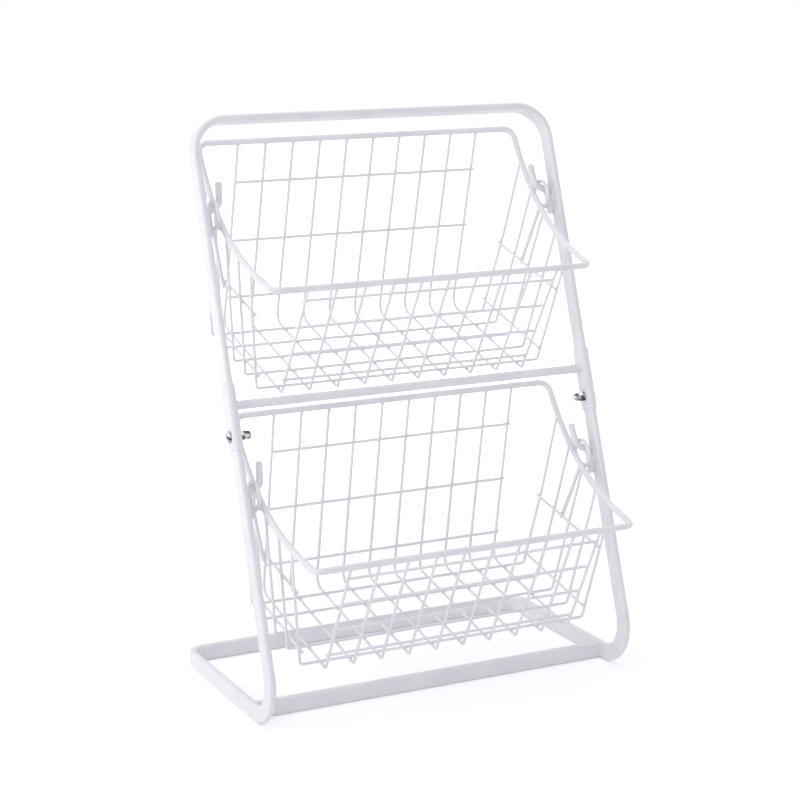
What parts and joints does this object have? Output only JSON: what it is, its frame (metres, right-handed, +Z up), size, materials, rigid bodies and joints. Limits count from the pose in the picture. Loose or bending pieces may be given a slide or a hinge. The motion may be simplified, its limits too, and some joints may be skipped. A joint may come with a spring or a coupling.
{
  "type": "two-tier wire basket stand",
  "caption": "Leaning tube stand in bolted halves, with wire storage baskets that hang by eyes on hooks inside its legs and swing freely.",
  "frame": {"origin": "on the floor, under the middle of the box round the whole stand with its baskets hanging at rest", "axes": "+X across the stand to its right as seen from the front, +Y to the back, +Z up"},
  "size_m": [0.3492, 0.2686, 0.4879],
  "materials": {
    "white_coat": "satin white powder coat on steel tube, rod and wire",
    "plated_steel": "bright zinc-plated steel bolts and cap nuts"
  },
  "bodies": {
    "stand": {"base_front_bar": "white_coat", "cap_nuts": "plated_steel", "crossbar": "white_coat", "hook_lower_left": "white_coat", "hook_lower_right": "white_coat", "hook_upper_left": "white_coat", "hook_upper_right": "white_coat", "joint_bolts": "plated_steel", "lower_frame_tube": "white_coat", "upper_frame_tube": "white_coat"},
    "upper_basket": {"upper_back_rails": "white_coat", "upper_cross_wire_1": "white_coat", "upper_cross_wire_2": "white_coat", "upper_cross_wire_3": "white_coat", "upper_cross_wire_4": "white_coat", "upper_cross_wire_5": "white_coat", "upper_eye_left": "white_coat", "upper_eye_right": "white_coat", "upper_front_rails": "white_coat", "upper_rim": "white_coat", "upper_side_rails_left": "white_coat", "upper_side_rails_right": "white_coat", "upper_u_wire_01": "white_coat", "upper_u_wire_02": "white_coat", "upper_u_wire_03": "white_coat", "upper_u_wire_04": "white_coat", "upper_u_wire_05": "white_coat", "upper_u_wire_06": "white_coat", "upper_u_wire_07": "white_coat", "upper_u_wire_08": "white_coat", "upper_u_wire_09": "white_coat", "upper_u_wire_10": "white_coat"},
    "lower_basket": {"lower_back_rails": "white_coat", "lower_cross_wire_1": "white_coat", "lower_cross_wire_2": "white_coat", "lower_cross_wire_3": "white_coat", "lower_cross_wire_4": "white_coat", "lower_cross_wire_5": "white_coat", "lower_eye_left": "white_coat", "lower_eye_right": "white_coat", "lower_front_rails": "white_coat", "lower_rim": "white_coat", "lower_side_rails_left": "white_coat", "lower_side_rails_right": "white_coat", "lower_u_wire_01": "white_coat", "lower_u_wire_02": "white_coat", "lower_u_wire_03": "white_coat", "lower_u_wire_04": "white_coat", "lower_u_wire_05": "white_coat", "lower_u_wire_06": "white_coat", "lower_u_wire_07": "white_coat", "lower_u_wire_08": "white_coat", "lower_u_wire_09": "white_coat", "lower_u_wire_10": "white_coat"}
  },
  "joints": [
    {"name": "upper_basket_swing", "type": "hinge", "parent": "stand", "child": "upper_basket", "pos_m": [0, 0.04189, 0.40716], "axis": [1, 0, 0], "range_deg": [-45, 17]},
    {"name": "lower_basket_swing", "type": "hinge", "parent": "stand", "child": "lower_basket", "pos_m": [0, -0.03197, 0.18516], "axis": [1, 0, 0], "range_deg": [-45, 21]}
  ]
}
